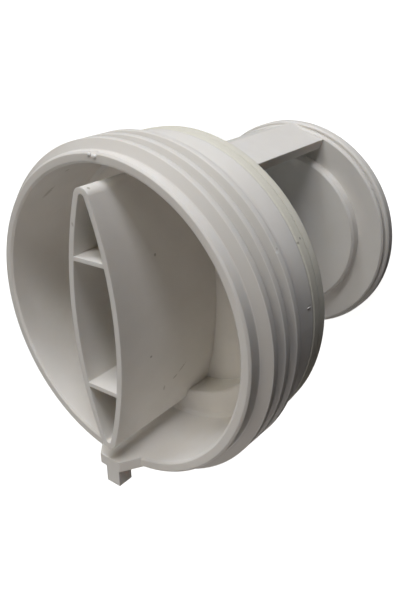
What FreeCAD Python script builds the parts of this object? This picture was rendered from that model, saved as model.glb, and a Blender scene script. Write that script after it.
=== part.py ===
import FreeCAD, Part
import math
import os

from FreeCAD import Vector

# Drain pump filter of a washing machine, standing on its end disc with the cup's mouth up.
# The origin is the centre of the standing face, +Z runs to the mouth and the lug is at -Y.

# End disc, with a boss in front and a hollow behind
disc_radius = 28.9
disc_thickness = 4.2
flange_radius = 29.7
flange_thickness = 2.4
edge_groove_width = 0.6
edge_groove_depth = 0.6
boss_radius = 21.9
boss_height = 2.7
boss_chamfer = 0.6
boss_wall = 2.2
end_wall = 3.0

# Two bars that carry the end disc, each with a ridge along the parting line
basket_length = 40.9
bar_width = 21.2
bar_thickness = 2.6
bar_ridge_fall = 3.2
bar_inset = 0.2

# Cup, from its floor up to the rim
floor_thickness = 2.0
recess_radius = 26.95
recess_depth = 7.4
recess_wall = 2.0
ledge_thickness = 2.0
ledge_chamfer = 0.4
cup_depth = 20.0
bore_radius = 33.5
bore_draft = 0.5
bore_chamfer = 0.8
rim_radius = 35.95
edge_break = 0.45
nick_width = 2.6
nick_depth = 0.8
nick_offset = -1.6

# Collar behind the thread, with the groove of the sealing ring
collar_radius = 36.6
collar_length = 26.2
collar_margin = 0.3
collar_lip = 1.9
collar_lip_step = 0.1
skirt_wall = 2.0
seal_width = 2.7
seal_thickness = 2.6
seal_proud = 0.1
seal_clearance = 0.1
seal_chamfer = 0.4

# Coarse right-hand thread on the cup
thread_pitch = 4.1
thread_turns = 3
thread_height = 2.15
thread_land = 1.3
thread_front_run = 1.65
thread_rear_run = 0.5
thread_lead = 2.2
thread_start_angle = -150.0
thread_root_bite = 0.4
thread_run_out = 5.0

# Hollow grip across the cup, turned a little from the line of the lug, with two cross ribs
grip_length = 59.8
grip_width = 14.1
grip_turn = 1.8
grip_tip_radius = 2.25
grip_wall = 1.4
grip_proud = 4.5
rib_thickness = 1.0
rib_spacing = 29.4
rib_shift = -0.5

# Lug on the rim: a tongue that carries on the cup's wall, and a square peg on its outside
tongue_length = 3.8
tongue_tip_width = 5.9
tongue_root_width = 12.6
peg_width = 3.85
peg_depth = 3.8
peg_reach = 3.9
peg_offset = 0.7

# Levels above the standing face
boss_top = disc_thickness + boss_height
floor_bottom = disc_thickness + basket_length
floor_top = floor_bottom + floor_thickness
ledge_top = floor_top + recess_depth
ledge_bottom = ledge_top - ledge_thickness
rim_top = ledge_top + cup_depth
collar_bottom = rim_top - collar_length
groove_bottom = collar_bottom + collar_lip
groove_top = groove_bottom + seal_width + 2 * seal_clearance
grip_top = rim_top + grip_proud
thread_rise = thread_pitch * thread_turns
thread_bottom = rim_top - thread_lead - thread_rise
collar_top = thread_bottom - thread_land - 2 * thread_rear_run - collar_margin

# Radii shared by pieces that meet
groove_radius = collar_radius - seal_thickness
skirt_radius = groove_radius - skirt_wall
recess_outer_radius = recess_radius + recess_wall
hollow_radius = boss_radius - boss_wall
hollow_depth = boss_top - end_wall
bar_ridge_radius = flange_radius - bar_inset

AXIS = Vector(0, 0, 1)
ORIGIN = Vector(0, 0, 0)


def chamfered_outline(corners):
    """Closed wire in the XZ plane through (radius, height, chamfer) corners, each cut back along both sides."""
    points = []
    for index, (radius, height, chamfer) in enumerate(corners):
        corner = Vector(radius, 0, height)
        if chamfer == 0:
            points.append(corner)
            continue
        for near_radius, near_height, near_chamfer in (corners[index - 1], corners[(index + 1) % len(corners)]):
            way = Vector(near_radius, 0, near_height) - corner
            points.append(corner + way.normalize() * chamfer)
    return Part.makePolygon(points + points[:1])


def revolved(corners):
    """Solid of revolution about the axis of the filter."""
    return Part.Face(chamfered_outline(corners)).revolve(ORIGIN, AXIS, 360)


def prism(wire, bottom, top):
    """Upright solid on a flat outline that was drawn at height zero."""
    face = Part.Face(wire)
    face.translate(Vector(0, 0, bottom))
    return face.extrude(Vector(0, 0, top - bottom))


def lens_outline(length, width, tip_radius):
    """Lens-shaped outline along Y: two long arcs that run tangent into round tips."""
    half_length = length / 2
    half_width = width / 2
    tip_centre = half_length - tip_radius
    side_radius = (half_width ** 2 - tip_radius ** 2 + tip_centre ** 2) / (2 * (half_width - tip_radius))
    side_centre = side_radius - half_width
    scale = side_radius / (side_radius - tip_radius)
    join_x = side_centre * (scale - 1)
    join_y = tip_centre * scale

    def arc(start, middle, end):
        return Part.Arc(Vector(*start), Vector(*middle), Vector(*end)).toShape()

    return Part.Wire([
        arc((join_x, -join_y), (half_width, 0), (join_x, join_y)),
        arc((join_x, join_y), (0, half_length), (-join_x, join_y)),
        arc((-join_x, join_y), (-half_width, 0), (-join_x, -join_y)),
        arc((-join_x, -join_y), (0, -half_length), (join_x, -join_y)),
    ])


def cup():
    """Cup with its stepped floor and its plain collar down to the groove of the sealing ring."""
    return revolved([
        (0, floor_top, 0),
        (recess_radius, floor_top, 0),
        (recess_radius, ledge_top, ledge_chamfer),
        (bore_radius - bore_draft, ledge_top, bore_chamfer),
        (bore_radius, rim_top, edge_break),
        (rim_radius, rim_top, edge_break),
        (rim_radius, collar_top, 0),
        (collar_radius, groove_top, 0),
        (groove_radius, groove_top, 0),
        (groove_radius, ledge_bottom, 0),
        (recess_outer_radius, ledge_bottom, 0),
        (recess_outer_radius, floor_bottom, 0),
        (0, floor_bottom, 0),
    ])


def skirt():
    """Skirt that hangs from the ledge, with the bed of the sealing ring and the lip behind it."""
    skirt_top = ledge_bottom + ledge_thickness / 2
    return revolved([
        (groove_radius, skirt_top, 0),
        (groove_radius, groove_bottom, 0),
        (collar_radius - collar_lip_step, groove_bottom, 0),
        (collar_radius - collar_lip_step, collar_bottom, 0),
        (skirt_radius, collar_bottom, 0),
        (skirt_radius, skirt_top, 0),
    ])


def run_out_wedge(side, bottom, top):
    """Wedge that slopes one end of the thread down to the wall."""
    crest = rim_radius + thread_height
    clear = crest + thread_height
    outline = Part.makePolygon([
        Vector(rim_radius, 0, 0),
        Vector(math.sqrt(crest ** 2 - thread_run_out ** 2), side * thread_run_out, 0),
        Vector(clear, side * thread_run_out, 0),
        Vector(clear, -side * thread_run_out, 0),
        Vector(rim_radius, -side * thread_run_out, 0),
        Vector(rim_radius, 0, 0),
    ])
    end_rise = thread_pitch * thread_run_out / (2 * math.pi * rim_radius)
    return prism(outline, bottom - end_rise, top + end_rise)


def thread():
    """Helical ridge on the cup's outside, sunk a little into the wall that carries it."""
    path = Part.makeHelix(thread_pitch, thread_rise, rim_radius)
    foot = rim_radius - thread_root_bite
    crest = rim_radius + thread_height
    spread = (thread_height + thread_root_bite) / thread_height
    front_foot = thread_front_run * spread
    rear_foot = -thread_land - thread_rear_run * spread
    section = Part.makePolygon([
        Vector(foot, 0, front_foot),
        Vector(crest, 0, 0),
        Vector(crest, 0, -thread_land),
        Vector(foot, 0, rear_foot),
        Vector(foot, 0, front_foot),
    ])
    ridge = Part.Wire(path.Edges).makePipeShell([section], True, True)
    first_end = run_out_wedge(1, rear_foot, front_foot)
    last_end = run_out_wedge(-1, thread_rise + rear_foot, thread_rise + front_foot)
    ridge = ridge.cut(first_end.fuse(last_end))
    ridge.rotate(ORIGIN, AXIS, thread_start_angle)
    ridge.translate(Vector(0, 0, thread_bottom))
    return ridge


def grip():
    """Outer form of the grip: its tips end on the ledge and its middle goes down to the floor."""
    outline = lens_outline(grip_length, grip_width, grip_tip_radius)
    above = prism(outline, ledge_bottom, grip_top)
    below = prism(outline, floor_bottom, ledge_top)
    whole = above.fuse(below.common(Part.makeCylinder(recess_outer_radius, rim_top)))
    whole.rotate(ORIGIN, AXIS, grip_turn)
    return whole


def grip_cells():
    """Hollow of the grip, divided by the two ribs."""
    inner = lens_outline(grip_length - 2 * grip_wall, grip_width - 2 * grip_wall, grip_tip_radius - grip_wall)
    above = prism(inner, ledge_top, grip_top)
    below = prism(inner, floor_top, ledge_top)
    hollow = above.fuse(below.common(Part.makeCylinder(recess_radius, rim_top)))
    for side in (-1, 1):
        rib_middle = rib_shift + side * rib_spacing / 2
        corner = Vector(-grip_width / 2, rib_middle - rib_thickness / 2, floor_top)
        hollow = hollow.cut(Part.makeBox(grip_width, rib_thickness, grip_top - floor_top, corner))
    hollow.rotate(ORIGIN, AXIS, grip_turn)
    return hollow


def lug():
    """Tapered tongue cut from the cup's own wall, with the square peg under its front."""
    tongue_top = rim_top + tongue_length
    root = rim_top - edge_break
    front = Part.makePolygon([
        Vector(-tongue_root_width / 2, 0, root),
        Vector(tongue_root_width / 2, 0, root),
        Vector(tongue_tip_width / 2, 0, tongue_top),
        Vector(-tongue_tip_width / 2, 0, tongue_top),
        Vector(-tongue_root_width / 2, 0, root),
    ])
    blank = Part.Face(front).extrude(Vector(0, -rim_radius, 0))
    wall = Part.makeCylinder(rim_radius, grip_top).cut(Part.makeCylinder(bore_radius, grip_top))
    wall_middle = (rim_radius + bore_radius) / 2
    peg_corner = Vector(peg_offset - peg_width / 2, -rim_radius - peg_reach, tongue_top - peg_depth)
    peg = Part.makeBox(peg_width, rim_radius + peg_reach - wall_middle, peg_depth, peg_corner)
    return blank.common(wall).fuse(peg)


def bar():
    """Bar on the +Y side: a shallow roof outside, an arc inside and radial flanks."""
    half_width = bar_width / 2
    edge_y = bar_ridge_radius - bar_ridge_fall
    edge_radius = math.hypot(half_width, edge_y)
    inner_radius = edge_radius - bar_thickness
    inner_x = half_width * inner_radius / edge_radius
    inner_y = edge_y * inner_radius / edge_radius
    ridge = Vector(0, bar_ridge_radius, 0)
    right = Vector(half_width, edge_y, 0)
    left = Vector(-half_width, edge_y, 0)
    inner_right = Vector(inner_x, inner_y, 0)
    inner_left = Vector(-inner_x, inner_y, 0)
    outline = Part.Wire([
        Part.LineSegment(ridge, right).toShape(),
        Part.LineSegment(right, inner_right).toShape(),
        Part.Arc(inner_right, Vector(0, inner_radius, 0), inner_left).toShape(),
        Part.LineSegment(inner_left, left).toShape(),
        Part.LineSegment(left, ridge).toShape(),
    ])
    upright = prism(outline, flange_thickness / 2, ledge_bottom)
    cup_inside = Part.makeCylinder(recess_radius + recess_wall / 2, rim_top)
    cup_inside.translate(Vector(0, 0, floor_bottom + floor_thickness / 2))
    return upright.cut(cup_inside)


def end_disc():
    """Disc with a stepped edge, a round boss towards the cup and a plain hollow behind it."""
    groove_radius_outer = disc_radius - edge_groove_depth
    return revolved([
        (0, boss_top, 0),
        (boss_radius, boss_top, boss_chamfer),
        (boss_radius, disc_thickness, 0),
        (disc_radius, disc_thickness, edge_break),
        (disc_radius, flange_thickness + edge_groove_width, 0),
        (groove_radius_outer, flange_thickness + edge_groove_width, 0),
        (groove_radius_outer, flange_thickness, 0),
        (flange_radius, flange_thickness, edge_break),
        (flange_radius, 0, 0),
        (hollow_radius, 0, 0),
        (hollow_radius, hollow_depth, 0),
        (0, hollow_depth, 0),
    ])


def nick():
    """Small wedge that is broken out of the rim's outer edge, at the end of the grip."""
    side = nick_depth * math.sqrt(2)
    wedge = Part.makeBox(nick_width, side, side, Vector(-nick_width / 2, -side / 2, -side / 2))
    wedge.rotate(ORIGIN, Vector(1, 0, 0), 45)
    wedge.translate(Vector(nick_offset, math.sqrt(rim_radius ** 2 - nick_offset ** 2), rim_top))
    return wedge


def filter_body():
    """The one-piece moulding."""
    near_bar = bar()
    far_bar = near_bar.copy()
    far_bar.rotate(ORIGIN, AXIS, 180)
    body = cup().multiFuse([skirt(), grip(), lug(), near_bar, far_bar, end_disc()])
    body = body.cut(grip_cells().fuse(nick())).removeSplitter()
    return body.fuse(thread())


def sealing_ring():
    """Ring in the collar's groove, a little proud of the collar."""
    inner = groove_radius + seal_clearance
    outer = collar_radius + seal_proud
    bottom = groove_bottom + seal_clearance
    top = bottom + seal_width
    return revolved([
        (inner, bottom, 0),
        (outer, bottom, seal_chamfer),
        (outer, top, seal_chamfer),
        (inner, top, 0),
    ])


os.makedirs("parts", exist_ok=True)
for name, shape in (("filter_body", filter_body()), ("sealing_ring", sealing_ring())):
    solid = shape.Solids[0]
    print(name, len(shape.Solids), solid.isValid(), round(solid.Volume), solid.BoundBox)
    solid.exportStep("parts/" + name + ".step")
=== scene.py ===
"""Looks of a washing machine's drain pump filter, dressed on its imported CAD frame.

The filter stands on its end disc at the origin, with the mouth of its cup at +Z and the lug of its rim
at -Y. It is one off-white moulding with a cream sealing ring. Sizes are in millimetres where a name ends
in _mm, and Blender's own lengths are in metres.
"""

import logging
from dataclasses import dataclass
from enum import Enum
from typing import Any

import bpy
from mathutils import Matrix, Vector


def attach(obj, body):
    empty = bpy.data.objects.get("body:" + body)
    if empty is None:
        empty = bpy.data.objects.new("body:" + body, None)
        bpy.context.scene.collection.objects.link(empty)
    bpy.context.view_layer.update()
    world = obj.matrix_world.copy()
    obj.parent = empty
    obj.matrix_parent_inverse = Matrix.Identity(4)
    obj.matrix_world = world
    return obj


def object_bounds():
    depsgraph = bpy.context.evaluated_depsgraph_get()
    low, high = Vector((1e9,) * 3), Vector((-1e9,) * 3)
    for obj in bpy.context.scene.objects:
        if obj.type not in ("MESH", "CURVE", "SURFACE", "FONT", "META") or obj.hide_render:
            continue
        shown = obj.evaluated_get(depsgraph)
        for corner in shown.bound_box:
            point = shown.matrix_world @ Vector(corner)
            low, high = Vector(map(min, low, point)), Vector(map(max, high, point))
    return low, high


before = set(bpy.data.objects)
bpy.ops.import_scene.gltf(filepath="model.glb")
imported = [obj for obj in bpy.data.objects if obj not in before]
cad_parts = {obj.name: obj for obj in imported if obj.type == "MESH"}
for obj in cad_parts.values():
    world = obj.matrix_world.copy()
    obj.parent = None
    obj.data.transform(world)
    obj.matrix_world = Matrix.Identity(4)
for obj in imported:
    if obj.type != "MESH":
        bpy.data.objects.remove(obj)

log = logging.getLogger("pump_filter")

MM = 0.001
CAD_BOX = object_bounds()

Pair = tuple[float, float]
Triple = tuple[float, float, float]


def srgb(hex_colour: str) -> tuple[float, float, float, float]:
    """Turns an sRGB hex value into a linear colour.

    Args:
        hex_colour: six hex digits, such as "d8d5d0".

    Returns:
        Linear red, green, blue and an alpha of one.
    """
    channels = [int(hex_colour[place:place + 2], 16) / 255 for place in (0, 2, 4)]
    linear = [c / 12.92 if c <= 0.04045 else ((c + 0.055) / 1.055) ** 2.4 for c in channels]
    return linear[0], linear[1], linear[2], 1.0


def feed(tree: bpy.types.NodeTree, node: bpy.types.Node, inputs: dict[str | int, Any]) -> None:
    """Fills a node's sockets.

    Args:
        tree: the node tree of a material.
        node: the node.
        inputs: what goes into each socket, by name or number: a socket is linked, a value is set.
    """
    for socket, value in inputs.items():
        if isinstance(value, bpy.types.NodeSocket):
            tree.links.new(value, node.inputs[socket])
        else:
            node.inputs[socket].default_value = value


def add_node(tree: bpy.types.NodeTree, kind: str, inputs: dict[str | int, Any] | None = None,
             **settings: Any) -> bpy.types.Node:
    """Adds a node with its settings and links.

    Args:
        tree: the node tree of a material.
        kind: Blender's type name of the node.
        inputs: what goes into each socket, as feed takes it.
        settings: properties of the node itself.

    Returns:
        The new node.
    """
    node = tree.nodes.new(kind)
    for name, value in settings.items():
        setattr(node, name, value)
    feed(tree, node, inputs or {})
    return node


def start_material(name: str) -> tuple[bpy.types.Material, bpy.types.NodeSocket]:
    """Starts a material.

    Args:
        name: name of the material.

    Returns:
        The material, and the surface point in Object coordinates.
    """
    made = bpy.data.materials.new(name)
    made.use_nodes = True
    return made, add_node(made.node_tree, "ShaderNodeTexCoord").outputs["Object"]


def per_mm(size_mm: float) -> float:
    """Texture scale that repeats a pattern about once in a real size."""
    return 1 / (size_mm * MM)


def place(point_mm: Triple) -> Vector:
    """Point in Blender's metres."""
    return Vector(point_mm) * MM


class MarkKind(Enum):
    """What left a mark on the moulding: its colour, and how much it covers at its middle."""

    SPECK = ("857d70", 0.6)
    SMEAR = ("a39b8b", 0.45)
    SCRATCH = ("968e80", 0.5)
    FLAKE = ("fbfaf6", 0.85)

    def __init__(self, colour: str, cover: float) -> None:
        """Keeps the mark's colour and cover by name."""
        self.colour = colour
        self.cover = cover


# A mark's edge is torn by noise of this size and share, and fades between these shares of its reach.
MARK_RAGGED_MM = 0.5
MARK_RAGGED_SHARE = 0.8
MARK_FADE = (0.8, 1.4)


@dataclass(frozen=True)
class Mark:
    """One place of wear or dirt, as a soft-edged ellipsoid through the surface.

    Attributes:
        kind: what the mark is.
        centre_mm: its middle, on the surface.
        reach_mm: half its length and half its width.
        along: direction of its length.
    """

    kind: MarkKind
    centre_mm: Triple
    reach_mm: Pair
    along: Triple = (1.0, 0.0, 0.0)

    def over(self, tree: bpy.types.NodeTree, here: bpy.types.NodeSocket,
             colour: bpy.types.NodeSocket) -> bpy.types.NodeSocket:
        """Lays the mark over a colour.

        Args:
            tree: the material's node tree.
            here: the surface point, in Object coordinates.
            colour: the colour under the mark.

        Returns:
            The colour with the mark on it.
        """
        length, width = self.reach_mm
        turn = Vector(self.along).to_track_quat("X", "Z").to_euler()
        local = add_node(tree, "ShaderNodeMapping",
                         {"Vector": here, "Location": place(self.centre_mm), "Rotation": turn,
                          "Scale": place((length, width, width))}, vector_type="TEXTURE")
        away = add_node(tree, "ShaderNodeVectorMath", {0: local.outputs["Vector"]}, operation="LENGTH")
        ragged = add_node(tree, "ShaderNodeTexNoise",
                          {"Vector": here, "Scale": per_mm(MARK_RAGGED_MM), "Detail": 3.0})
        edge = add_node(tree, "ShaderNodeMath",
                        {0: ragged.outputs["Fac"], 1: MARK_RAGGED_SHARE, 2: away.outputs["Value"]},
                        operation="MULTIPLY_ADD")
        cover = add_node(tree, "ShaderNodeMapRange",
                         {"Value": edge.outputs["Value"], "From Min": MARK_FADE[0], "From Max": MARK_FADE[1],
                          "To Min": self.kind.cover, "To Max": 0.0}, interpolation_type="SMOOTHSTEP")
        return add_node(tree, "ShaderNodeMix",
                        {"Factor": cover.outputs["Result"], "A": colour, "B": srgb(self.kind.colour)},
                        data_type="RGBA").outputs["Result"]


@dataclass(frozen=True)
class TintAndShadeBand:
    """Band round the moulding drawn in another colour, used both for a real tint and for painted shade.

    Attributes:
        colour: colour of the band.
        heights_mm: lowest and highest level that it reaches.
        radii_mm: innermost and outermost radius at which it shows.
        cover: how much of the colour under it it hides.
    """

    colour: str
    heights_mm: Pair
    radii_mm: Pair
    cover: float = 1.0

    def over(self, tree: bpy.types.NodeTree, here: bpy.types.NodeSocket,
             colour: bpy.types.NodeSocket) -> bpy.types.NodeSocket:
        """Lays the band over a colour.

        Args:
            tree: the material's node tree.
            here: the surface point, in Object coordinates.
            colour: the colour under the band.

        Returns:
            The colour with the band on it.
        """
        height = add_node(tree, "ShaderNodeSeparateXYZ", {"Vector": here}).outputs["Z"]
        flat = add_node(tree, "ShaderNodeVectorMath", {0: here, 1: (1.0, 1.0, 0.0)}, operation="MULTIPLY")
        radius = add_node(tree, "ShaderNodeVectorMath", {0: flat.outputs["Vector"]}, operation="LENGTH")
        cover = self.cover
        for measure, (low, high) in ((height, self.heights_mm), (radius.outputs["Value"], self.radii_mm)):
            inside = add_node(tree, "ShaderNodeMath",
                              {0: measure, 1: (low + high) / 2 * MM, 2: (high - low) / 2 * MM},
                              operation="COMPARE")
            cover = add_node(tree, "ShaderNodeMath", {0: inside.outputs["Value"], 1: cover},
                             operation="MULTIPLY").outputs["Value"]
        return add_node(tree, "ShaderNodeMix", {"Factor": cover, "A": colour, "B": srgb(self.colour)},
                        data_type="RGBA").outputs["Result"]


@dataclass(frozen=True)
class MouldedPolypropylene:
    """Polypropylene from a spark-eroded mould: off-white, satin, faintly blotchy, with a fine even grain.

    Attributes:
        name: name of the material.
        light: colour of the cleaner patches.
        dull: colour of the patches that have gone dull.
        patch_mm: size of those patches.
        grain_mm: spacing of the mould's grain, drawn coarser than the real 0.1 mm so that it shows.
        grain_depth_mm: height of the grain.
        edge_mm: radius that the mould's edges show in the light.
        glow: share of the light that goes into the plastic before it comes out again.
        glow_mm: how far that light travels.
        glow_tint: how far its red, green and blue go.
        roughness: roughness of the clean and of the dull patches.
        ior: index of refraction.
    """

    name: str = "moulded_polypropylene"
    light: str = "efece7"
    dull: str = "e5e1da"
    patch_mm: float = 9.0
    grain_mm: float = 0.6
    grain_depth_mm: float = 0.02
    edge_mm: float = 0.3
    glow: float = 0.3
    glow_mm: float = 1.5
    glow_tint: Triple = (1.0, 0.9, 0.75)
    roughness: Pair = (0.42, 0.58)
    ior: float = 1.49

    def material(self, marks: tuple[TintAndShadeBand | Mark, ...] = ()) -> bpy.types.Material:
        """Builds the material.

        Args:
            marks: the tint, the painted shade and the wear that show on the piece.

        Returns:
            The finished material.
        """
        made, here = start_material(self.name)
        tree = made.node_tree
        patches = add_node(tree, "ShaderNodeTexNoise",
                           {"Vector": here, "Scale": per_mm(self.patch_mm), "Detail": 4.0, "Roughness": 0.6})
        colour = add_node(tree, "ShaderNodeMix",
                          {"Factor": patches.outputs["Fac"], "A": srgb(self.light), "B": srgb(self.dull)},
                          data_type="RGBA").outputs["Result"]
        for mark in marks:
            colour = mark.over(tree, here, colour)
        gloss = add_node(tree, "ShaderNodeMapRange",
                         {"Value": patches.outputs["Fac"], "From Min": 0.3, "From Max": 0.7,
                          "To Min": self.roughness[0], "To Max": self.roughness[1]})
        grain = add_node(tree, "ShaderNodeTexNoise",
                         {"Vector": here, "Scale": per_mm(self.grain_mm), "Detail": 2.0})
        rounded = add_node(tree, "ShaderNodeBevel", {"Radius": self.edge_mm * MM}, samples=4)
        bump = add_node(tree, "ShaderNodeBump",
                        {"Height": grain.outputs["Fac"], "Strength": 0.5,
                         "Distance": self.grain_depth_mm * MM, "Normal": rounded.outputs["Normal"]})
        feed(tree, tree.nodes["Principled BSDF"],
             {"Base Color": colour, "Roughness": gloss.outputs["Result"], "Normal": bump.outputs["Normal"],
              "IOR": self.ior, "Subsurface Weight": self.glow, "Subsurface Radius": self.glow_tint,
              "Subsurface Scale": self.glow_mm * MM})
        return made


@dataclass(frozen=True)
class CreamRubber:
    """Pressed rubber: cream, matt, with a fine speckle where dust has stuck.

    Attributes:
        name: name of the material.
        light: colour of the clean rubber.
        dusty: colour of the speckle.
        speckle_mm: spacing of the speckle.
        speckle_depth_mm: height of the speckle.
        edge_mm: radius that its edges show in the light.
        roughness: roughness all over.
        ior: index of refraction.
    """

    name: str = "cream_rubber"
    light: str = "eeebdf"
    dusty: str = "e0dccd"
    speckle_mm: float = 1.6
    speckle_depth_mm: float = 0.03
    edge_mm: float = 0.5
    roughness: float = 0.62
    ior: float = 1.52

    def material(self, marks: tuple[Mark, ...]) -> bpy.types.Material:
        """Builds the material.

        Args:
            marks: the dirt that shows on the piece.

        Returns:
            The finished material.
        """
        made, here = start_material(self.name)
        tree = made.node_tree
        speckle = add_node(tree, "ShaderNodeTexNoise",
                           {"Vector": here, "Scale": per_mm(self.speckle_mm), "Detail": 5.0,
                            "Roughness": 0.65})
        colour = add_node(tree, "ShaderNodeMix",
                          {"Factor": speckle.outputs["Fac"], "A": srgb(self.light), "B": srgb(self.dusty)},
                          data_type="RGBA").outputs["Result"]
        for mark in marks:
            colour = mark.over(tree, here, colour)
        rounded = add_node(tree, "ShaderNodeBevel", {"Radius": self.edge_mm * MM}, samples=4)
        bump = add_node(tree, "ShaderNodeBump",
                        {"Height": speckle.outputs["Fac"], "Strength": 0.4,
                         "Distance": self.speckle_depth_mm * MM, "Normal": rounded.outputs["Normal"]})
        feed(tree, tree.nodes["Principled BSDF"],
             {"Base Color": colour, "Normal": bump.outputs["Normal"], "Roughness": self.roughness,
              "IOR": self.ior})
        return made


@dataclass
class FilterBody:
    """The one-piece moulding, kept as its CAD node.

    Attributes:
        node: name of the CAD node.
        finish: the plastic.
        lip: the lip behind the ring, which is as cream as the ring.
        painted_flank_shade: painted shade on the thread's flank faces, a darker band that stands in for the
            shade there, so they look darker than its crests.
        marks: the wear that the photograph shows.
    """

    node: str = "filter_body"
    finish: MouldedPolypropylene = MouldedPolypropylene()
    lip: TintAndShadeBand = TintAndShadeBand("ebe7d9", (48.15, 50.45), (33.5, 40.0))
    # Painted shade: a darker band over the thread's flank faces, standing in for the shade that falls on
    # them.
    painted_flank_shade: TintAndShadeBand = TintAndShadeBand("d6d2cb", (57.5, 74.3), (36.15, 37.95), 0.7)
    marks: tuple[Mark, ...] = (
        Mark(MarkKind.SMEAR, (-24.8, 22.2, 67.8), (2.7, 0.75), (2.25, 2.46, -1.5)),
        Mark(MarkKind.SMEAR, (-17.3, 28.5, 68.0), (0.9, 0.5), (1.0, 0.6, 0.0)),
        Mark(MarkKind.SPECK, (0.2, 29.6, 77.8), (0.5, 0.45)),
        Mark(MarkKind.SMEAR, (-4.1, 21.6, 79.0), (0.7, 0.4), (-0.3, 1.0, 0.0)),
        Mark(MarkKind.SPECK, (5.68, 12.9, 65.8), (0.5, 0.45)),
        Mark(MarkKind.SPECK, (6.82, -9.1, 70.0), (0.45, 0.4)),
        Mark(MarkKind.SCRATCH, (5.46, -18.9, 61.1), (0.95, 0.35), (0.06, 0.32, -0.76)),
        Mark(MarkKind.SMEAR, (5.7, -17.5, 58.8), (1.9, 0.3), (0.2, 1.1, -1.6)),
        Mark(MarkKind.SMEAR, (5.18, -20.2, 64.7), (0.9, 0.4), (0.2, 1.0, 0.0)),
        Mark(MarkKind.SMEAR, (36.13, 4.6, 54.2), (1.05, 0.6), (0.16, 0.26, -1.24)),
        Mark(MarkKind.FLAKE, (33.38, 18.3, 61.8), (0.6, 0.4), (0.0, 0.3, 1.0)),
        Mark(MarkKind.SMEAR, (33.1, 18.9, 61.4), (0.4, 0.3)),
    )

    def dress(self) -> bpy.types.Object:
        """Gives the moulding its plastic, its wear and the painted shade on its thread.

        Returns:
            The moulding.
        """
        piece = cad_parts[self.node]
        piece.material_slots[0].material = self.finish.material((self.lip, self.painted_flank_shade, *self.marks))
        return piece


@dataclass
class SealingRing:
    """The ring in the collar's groove, kept as its CAD node.

    Attributes:
        node: name of the CAD node.
        finish: the rubber.
        marks: the dirt at its front edge.
    """

    node: str = "sealing_ring"
    finish: CreamRubber = CreamRubber()
    marks: tuple[Mark, ...] = (
        Mark(MarkKind.SPECK, (32.43, 17.1, 52.6), (0.45, 0.4)),
        Mark(MarkKind.SPECK, (32.12, 17.7, 51.5), (0.4, 0.35)),
    )

    def dress(self) -> bpy.types.Object:
        """Gives the ring its rubber and its dirt.

        Returns:
            The ring.
        """
        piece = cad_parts[self.node]
        piece.material_slots[0].material = self.finish.material(self.marks)
        return piece


@dataclass(frozen=True)
class Tooth:
    """One torn tooth of plastic.

    Attributes:
        centre_mm: its middle, on the surface that it stands on.
        half_mm: half its size along X, Y and Z.
        seed: which of the random shapes it takes.
        outward: direction in which it stands out.
        root_share: how deep its root goes, as a share of its smallest half size.
    """

    centre_mm: Triple
    half_mm: Triple
    seed: int
    outward: Triple = (0.0, 0.0, 1.0)
    root_share: float = 0.3

    def build(self, ragged_mm: float) -> bpy.types.Object:
        """Pulls a ball of plastic into a ragged tooth with a flat root.

        Args:
            ragged_mm: how far its skin is torn in and out.

        Returns:
            The tooth.
        """
        middle = place(self.centre_mm)
        bpy.ops.object.select_all(action="DESELECT")
        bpy.ops.mesh.primitive_ico_sphere_add(subdivisions=3, radius=MM, location=middle)
        tooth = bpy.context.object
        bpy.ops.object.mode_set(mode="EDIT")
        bpy.ops.mesh.select_all(action="SELECT")
        bpy.ops.transform.resize(value=self.half_mm, center_override=middle)
        bpy.ops.transform.vertex_random(offset=ragged_mm * MM, seed=self.seed)
        bpy.ops.mesh.select_all(action="SELECT")
        root = middle - Vector(self.outward) * self.root_share * min(self.half_mm) * MM
        bpy.ops.mesh.bisect(plane_co=root, plane_no=self.outward, use_fill=True, clear_inner=True)
        bpy.ops.object.mode_set(mode="OBJECT")
        return tooth


@dataclass
class TornPlastic:
    """Torn plastic that stands out of the moulding.

    Attributes:
        name: name of the piece.
        teeth: its teeth.
        finish: the same plastic, paler where it is torn.
        ragged_mm: how far the teeth are torn in and out.
    """

    name: str
    teeth: tuple[Tooth, ...]
    finish: MouldedPolypropylene = MouldedPolypropylene(
        name="torn_polypropylene", light="f3f1ed", dull="e6e3dd", patch_mm=0.8, grain_mm=0.2, edge_mm=0.05)
    ragged_mm: float = 0.06

    def dress(self) -> bpy.types.Object:
        """Models the teeth as one piece on the moulding and gives it its plastic.

        Returns:
            The piece.
        """
        parts = [tooth.build(self.ragged_mm) for tooth in self.teeth]
        for part in parts:
            part.select_set(True)
        if len(parts) > 1:
            bpy.ops.object.join()
        burr = bpy.context.object
        burr.name = self.name
        bpy.ops.object.transform_apply(location=True, rotation=True, scale=True)
        bpy.ops.object.shade_smooth()
        burr.data.materials.append(self.finish.material())
        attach(burr, "root")
        return burr


# The two teeth in the rim's nick, and the chip that stands on the collar.
RIM_BURR = TornPlastic("rim_burr", (
    Tooth((-2.5, 35.25, 74.4), (0.5, 0.42, 0.38), 3),
    Tooth((-1.0, 35.05, 74.5), (0.65, 0.5, 0.45), 8),
))
COLLAR_CHIP = TornPlastic("collar_chip", (
    Tooth((36.2, 4.6, 54.2), (0.15, 0.14, 0.65), 5, (0.98, 0.13, 0.15)),
))


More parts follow.
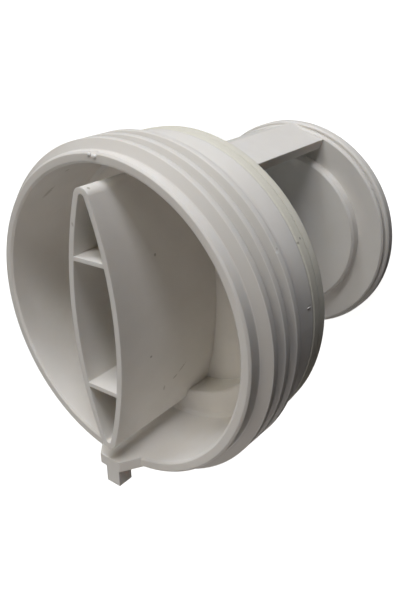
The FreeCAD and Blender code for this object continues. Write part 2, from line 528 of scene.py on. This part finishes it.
@dataclass(frozen=True)
class SoftLight:
    """One soft box of the studio, aimed at the middle of the filter.

    Attributes:
        name: which light it is.
        way: direction from the filter to the light.
        watts: power.
        colour: colour of the light.
        side_mm: side of the square box.
        away_mm: distance from the filter's middle.
    """

    name: str
    way: Triple
    watts: float
    colour: str
    side_mm: float = 450.0
    away_mm: float = 700.0

    def build(self, aim: Vector) -> bpy.types.Object:
        """Sets the light up.

        Args:
            aim: the point that it is aimed at.

        Returns:
            The light.
        """
        way = Vector(self.way).normalized()
        bpy.ops.object.light_add(type="AREA", location=aim + way * self.away_mm * MM)
        lamp = bpy.context.object
        lamp.name = self.name
        lamp.rotation_mode = "QUATERNION"
        lamp.rotation_quaternion = way.to_track_quat("Z", "Y")
        lamp.data.size = self.side_mm * MM
        lamp.data.energy = self.watts
        lamp.data.color = srgb(self.colour)[:3]
        lamp.visible_camera = False
        return lamp


@dataclass
class Studio:
    """Pale floor under the filter, a white room behind it and soft boxes round it.

    Attributes:
        floor_side_mm: side of the floor.
        floor_colour: colour of the floor.
        floor_glow: own light of the floor, which keeps it as white as the photograph's background.
        floor_roughness: roughness of the floor.
        room_colour: colour of the room.
        lights: the soft boxes.
    """

    floor_side_mm: float = 6000.0
    floor_colour: str = "f7f7f5"
    floor_glow: float = 0.93
    floor_roughness: float = 0.9
    room_colour: str = "fbfbfa"
    lights: tuple[SoftLight, ...] = (
        SoftLight("high_box", (-0.19, 0.97, 0.17), 1.9, "f8faff", side_mm=160.0),
        SoftLight("key_box", (0.24, 0.92, 0.31), 1.5, "f7f8ff", side_mm=160.0),
        SoftLight("mouth_box", (0.0, 0.8, 0.57), 0.75, "fffdf2", side_mm=160.0),
        SoftLight("back_box", (0.04, 0.9, -0.43), 0.7, "fffdfa"),
        SoftLight("front_fill", (-0.05, 0.03, 1.0), 0.7, "fff7f2"),
        SoftLight("lug_fill", (0.15, -0.75, 0.65), 0.017, "fffaf6", side_mm=80.0, away_mm=140.0),
        SoftLight("left_fill", (-0.82, -0.52, 0.22), 0.5, "e4f6ff"),
        SoftLight("low_fill", (0.33, -0.88, 0.36), 0.52, "fff8f6"),
    )

    def build(self) -> list[bpy.types.Object]:
        """Sets up room, floor and lights.

        Returns:
            The floor and the lights.
        """
        self._room()
        floor = self._floor()
        middle = (CAD_BOX[0] + CAD_BOX[1]) / 2
        return [floor] + [light.build(middle) for light in self.lights]

    def _room(self) -> None:
        """Makes the room white to the camera and leaves the lighting to the soft boxes."""
        world = bpy.data.worlds.new("white_room")
        bpy.context.scene.world = world
        world.use_nodes = True
        world.node_tree.nodes["Background"].inputs["Color"].default_value = srgb(self.room_colour)
        world.cycles_visibility.diffuse = False
        world.cycles_visibility.glossy = False

    def _floor(self) -> bpy.types.Object:
        """Lays the floor, keeps its glow off the filter and lets the low boxes shine through it.

        Returns:
            The floor.
        """
        bpy.ops.object.select_all(action="DESELECT")
        bpy.ops.mesh.primitive_plane_add(size=self.floor_side_mm * MM)
        floor = bpy.context.object
        floor.name = "floor"
        paper = bpy.data.materials.new("white_paper")
        paper.use_nodes = True
        white = srgb(self.floor_colour)
        feed(paper.node_tree, paper.node_tree.nodes["Principled BSDF"],
             {"Base Color": white, "Roughness": self.floor_roughness, "Emission Color": white,
              "Emission Strength": self.floor_glow})
        floor.data.materials.append(paper)
        floor.visible_diffuse = False
        floor.visible_glossy = False
        floor.visible_shadow = False
        return floor


@dataclass(frozen=True)
class Viewpoint:
    """Camera at the photograph's viewing angle: close to the mouth, a little above the grip's line.

    Attributes:
        eye_mm: where the camera stands.
        aim_mm: a point on the lens's axis.
        upright: direction that is up in the picture.
        lens_mm: focal length.
        sensor_mm: length of the sensor, along the picture's height.
        shift: how far the picture lies right of and above the lens's axis, in picture heights.
        nearest_mm: distance from which things are in the picture.
    """

    eye_mm: Triple = (99.249, 66.99, 164.927)
    aim_mm: Triple = (9.108, 16.494, 56.189)
    upright: Triple = (-0.18816, 0.94106, -0.28108)
    lens_mm: float = 41.674
    sensor_mm: float = 36.0
    shift: Pair = (0.0077, -0.1192)
    nearest_mm: float = 10.0

    def build(self) -> bpy.types.Object:
        """Sets the camera up and makes it the scene's own.

        Returns:
            The camera.
        """
        ahead = (Vector(self.aim_mm) - Vector(self.eye_mm)).normalized()
        right = ahead.cross(Vector(self.upright)).normalized()
        upward = right.cross(ahead)
        bpy.ops.object.camera_add()
        camera = bpy.context.object
        camera.name = "photo_camera"
        turn = Matrix((right, upward, -ahead)).transposed().to_4x4()
        camera.matrix_world = Matrix.Translation(place(self.eye_mm)) @ turn
        camera.data.lens = self.lens_mm
        camera.data.sensor_width = self.sensor_mm
        camera.data.shift_x, camera.data.shift_y = self.shift
        camera.data.clip_start = self.nearest_mm * MM
        bpy.context.scene.camera = camera
        return camera


def main() -> None:
    """Dresses the pieces in order, then sets up the studio and the camera."""
    logging.basicConfig(level=logging.INFO)
    bpy.context.scene.view_settings.view_transform = "Standard"
    for piece in (FilterBody(), SealingRing(), RIM_BURR, COLLAR_CHIP):
        log.info("dressed %s", piece.dress().name)
    for stand in Studio().build():
        log.info("set up %s", stand.name)
    log.info("camera %s", Viewpoint().build().name)


if __name__ == "__main__":
    main()
